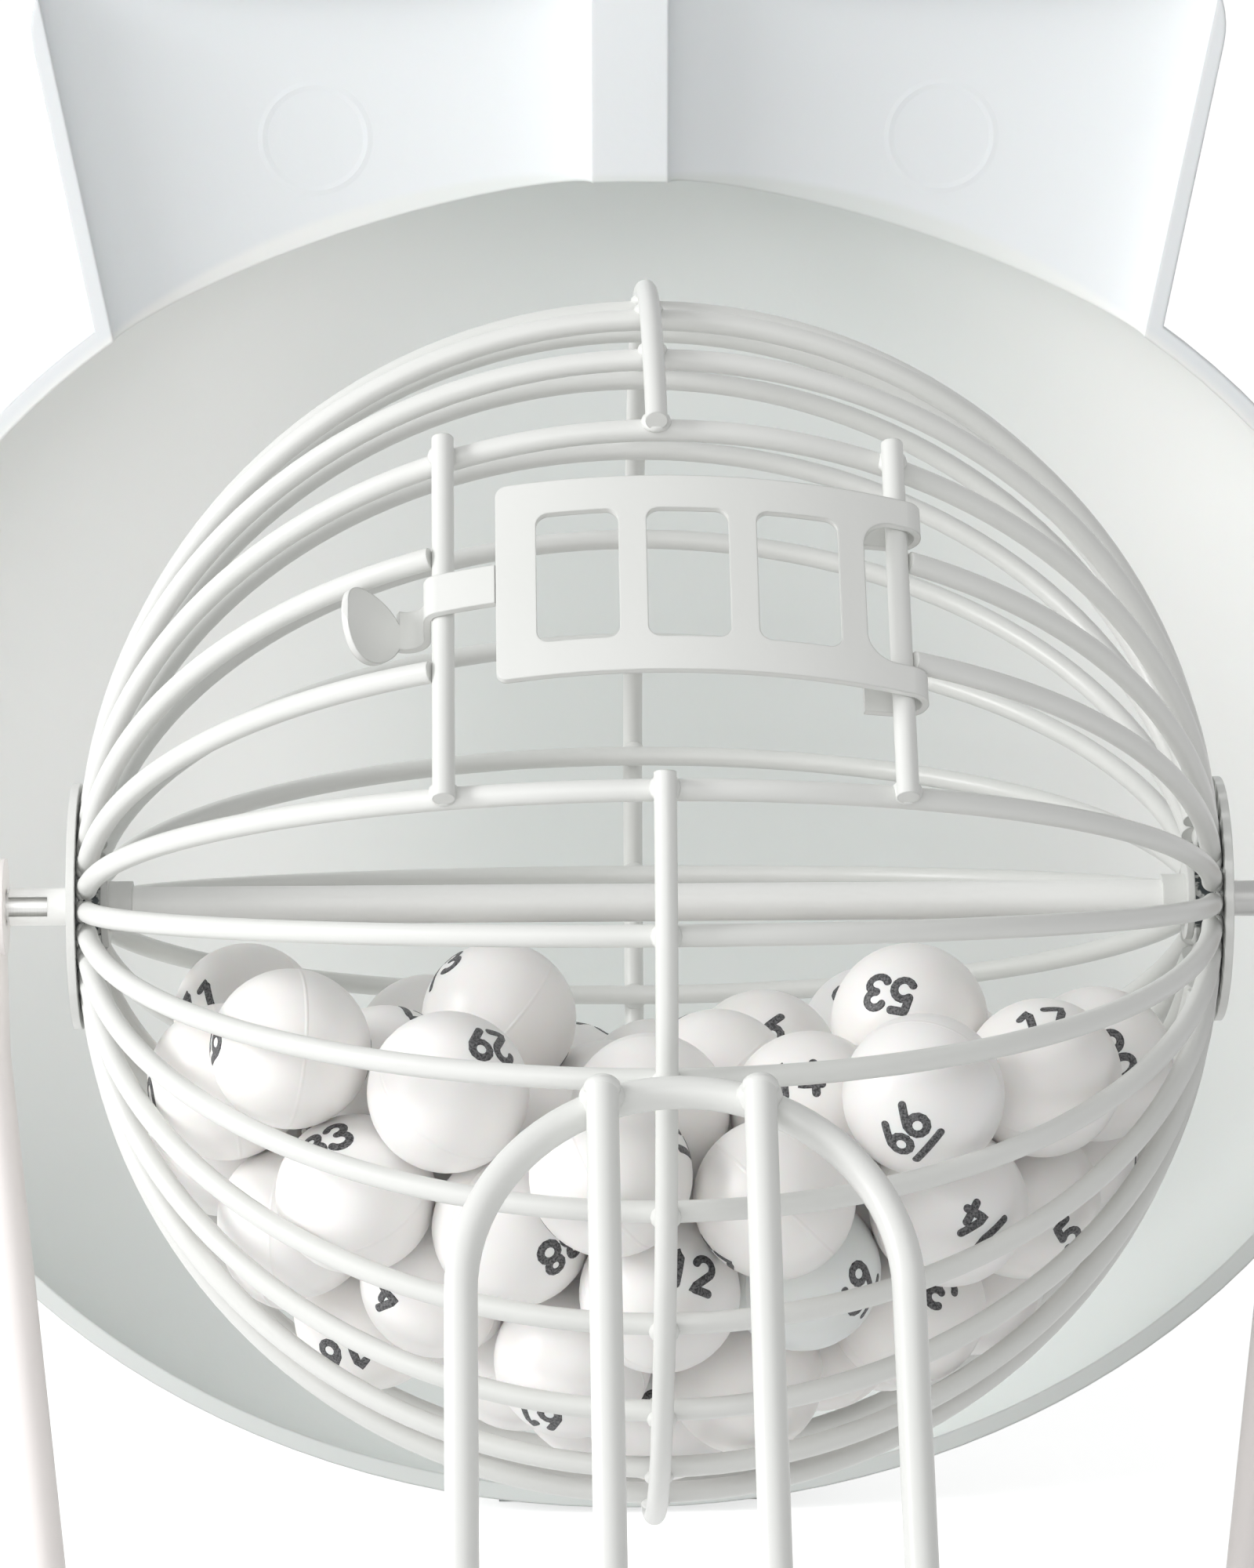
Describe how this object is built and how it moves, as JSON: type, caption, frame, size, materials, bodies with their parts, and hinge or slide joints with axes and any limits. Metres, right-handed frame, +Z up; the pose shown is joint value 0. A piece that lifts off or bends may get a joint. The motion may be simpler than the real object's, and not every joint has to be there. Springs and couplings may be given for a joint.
{
  "type": "raffle drum with crank",
  "caption": "Round wire drum on an axle with hinged door and crank, filled with numbered balls, on a wire stand with a ball slide in front and an oval ball tray on an easel behind.",
  "frame": {"origin": "on the ground, in the middle of the bounding box of the whole set", "axes": "+X along the axle to the crank, -Y to the player and the ball slide, +Z up"},
  "size_m": [0.2695, 0.4734, 0.26],
  "materials": {
    "white_coating": "satin off-white powder coating",
    "easel_coating": "satin off-white powder coating",
    "bare_steel": "plain steel, lightly turned",
    "bush_bronze": "plain",
    "tray_plastic": "matt white moulded plastic",
    "ball_plastic": "satin white",
    "grip_plastic": "matt off-white",
    "rubber": "matt pale grey"
  },
  "bodies": {
    "stand": {"base_loop": "white_coating", "post_left": "white_coating", "post_right": "white_coating", "rubber_feet": "rubber", "pivot_pin": "bare_steel", "bearing_bush": "bush_bronze", "slide_frame": "white_coating", "slide_rail_left": "white_coating", "slide_rail_right": "white_coating", "ball_tray": "tray_plastic", "balls": "ball_plastic"},
    "drum": {"cage_wire_01": "white_coating", "cage_wire_02": "white_coating", "cage_wire_03": "white_coating", "cage_wire_04": "white_coating", "cage_wire_05": "white_coating", "cage_wire_06": "white_coating", "cage_wire_07": "white_coating", "cage_wire_08": "white_coating", "cage_wire_09": "white_coating", "cage_wire_10": "white_coating", "cage_wire_11": "white_coating", "cage_wire_12": "white_coating", "cage_wire_13": "white_coating", "cage_wire_14": "white_coating", "cage_wire_15": "white_coating", "cage_wire_16": "white_coating", "cage_wire_17": "white_coating", "cage_wire_18": "white_coating", "cage_wire_19": "white_coating", "cage_wire_20": "white_coating", "cage_wire_21": "white_coating", "cage_wire_22": "white_coating", "cage_wire_23": "white_coating", "cage_wire_24": "white_coating", "cage_wire_25": "white_coating", "cage_wire_26": "white_coating", "short_wire_left_1": "white_coating", "short_wire_left_2": "white_coating", "short_wire_right_1": "white_coating", "short_wire_right_2": "white_coating", "cage_hoop": "white_coating", "latch_bar": "white_coating", "hinge_bar": "white_coating", "hub_disc_left": "white_coating", "hub_disc_right": "white_coating", "hub_collar_left": "white_coating", "hub_collar_right": "white_coating", "axle_tube": "white_coating", "crank_shaft": "bare_steel", "crank_arm": "bare_steel", "crank_nut": "bare_steel", "grip_spindle": "bare_steel"},
    "door": {"door_leaf": "white_coating"},
    "grip": {"crank_grip": "grip_plastic"},
    "easel": {"tray_easel": "easel_coating"}
  },
  "joints": [
    {"name": "drum_spin", "type": "hinge", "parent": "stand", "child": "drum", "pos_m": [-0.00365, 0.03355, 0.132], "axis": [1, 0, 0], "continuous": true},
    {"name": "door_swing", "type": "hinge", "parent": "drum", "child": "door", "pos_m": [0.02835, -0.02177, 0.18579], "axis": [0, 0.6972, 0.7169], "range_deg": [0, 100]},
    {"name": "grip_spin", "type": "hinge", "parent": "drum", "child": "grip", "pos_m": [0.11135, 0.03355, 0.086], "axis": [1, 0, 0], "continuous": true},
    {"name": "easel_fold", "type": "hinge", "parent": "stand", "child": "easel", "pos_m": [-0.00365, 0.16515, 0.2295], "axis": [1, 0, 0], "range_deg": [-17, 0]}
  ]
}
